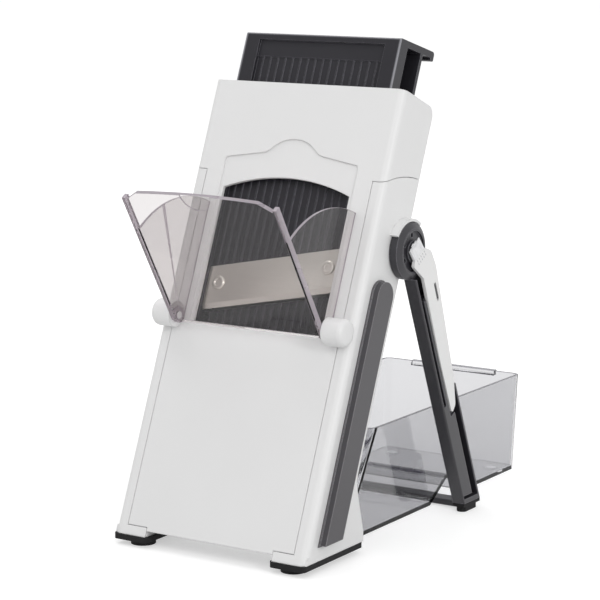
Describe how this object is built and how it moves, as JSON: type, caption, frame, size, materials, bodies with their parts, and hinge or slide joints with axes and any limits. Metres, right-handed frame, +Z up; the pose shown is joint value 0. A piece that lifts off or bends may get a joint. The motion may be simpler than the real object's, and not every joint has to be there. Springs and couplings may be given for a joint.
{
  "type": "standing plunge mandoline slicer",
  "caption": "Upright hand slicer: leaning housing with a sprung plunger and slanted blade, hinged clear feed chute, folding legs, clear catch bin and clip-on brush.",
  "frame": {"origin": "middle of the bounding box on the table", "axes": "+X to the user's right as they face the chute, +Y from the chute to the bin, +Z up"},
  "size_m": [0.1476, 0.2945, 0.2864],
  "materials": {
    "white_abs": "satin moulded ABS",
    "charcoal_abs": "satin charcoal moulding",
    "charcoal_trim": "satin charcoal strip",
    "black_rubber": "matt rubber",
    "blade_steel": "brushed stainless steel",
    "zinc_steel": "bright zinc plate",
    "smoky_clear": "clear gloss moulding, lightly smoked",
    "grey_clear": "clear gloss moulding, pale grey",
    "brush_white": "satin moulding",
    "bristle_white": "nylon bristles"
  },
  "bodies": {
    "housing": {"front_cover": "white_abs", "rear_shell": "white_abs", "side_strip_left": "charcoal_trim", "side_strip_right": "charcoal_trim", "base_pad_left": "black_rubber", "base_pad_right": "black_rubber", "base_feet": "black_rubber", "hinge_cap_left": "white_abs", "hinge_cap_right": "white_abs", "leg_pivot_left": "charcoal_abs", "leg_pivot_right": "charcoal_abs", "spring_rod_left": "zinc_steel", "spring_rod_right": "zinc_steel", "return_spring_left": "zinc_steel", "return_spring_right": "zinc_steel", "housing_screws": "zinc_steel"},
    "plunger_carriage": {"plunger": "charcoal_abs", "lower_plate": "charcoal_abs", "blade": "blade_steel", "blade_rivets": "blade_steel"},
    "feed_chute": {"chute": "smoky_clear"},
    "rear_legs": {"leg_left": "charcoal_abs", "leg_right": "charcoal_abs", "crossbar": "charcoal_abs", "crossbar_screws": "zinc_steel", "leg_feet": "black_rubber"},
    "catch_bin": {"bin": "grey_clear"},
    "cleaning_brush": {"brush_handle": "brush_white", "brush_bristles": "bristle_white"}
  },
  "joints": [
    {"name": "plunger_slide", "type": "slide", "parent": "housing", "child": "plunger_carriage", "axis": [0, 0.382, 0.9241], "range_m": [-0.028, 0.05], "stiffness_N_per_m": 400, "springref_m": 0.0055, "deforming": ["return_spring_left", "return_spring_right"]},
    {"name": "chute_hinge", "type": "hinge", "parent": "housing", "child": "feed_chute", "pos_m": [0, -0.09316, 0.12874], "axis": [1, 0, 0], "range_deg": [0, 90]},
    {"name": "leg_hinge", "type": "hinge", "parent": "housing", "child": "rear_legs", "pos_m": [0, -0.03376, 0.16748], "axis": [1, 0, 0], "range_deg": [-34, 0]},
    {"name": "bin_lift_out", "type": "slide", "parent": "housing", "child": "catch_bin", "axis": [0, 0.7071, 0.7071], "range_m": [0, 0.18]},
    {"name": "brush_pull_off", "type": "slide", "parent": "rear_legs", "child": "cleaning_brush", "axis": [1, 0, 0], "range_m": [0, 0.03]}
  ]
}
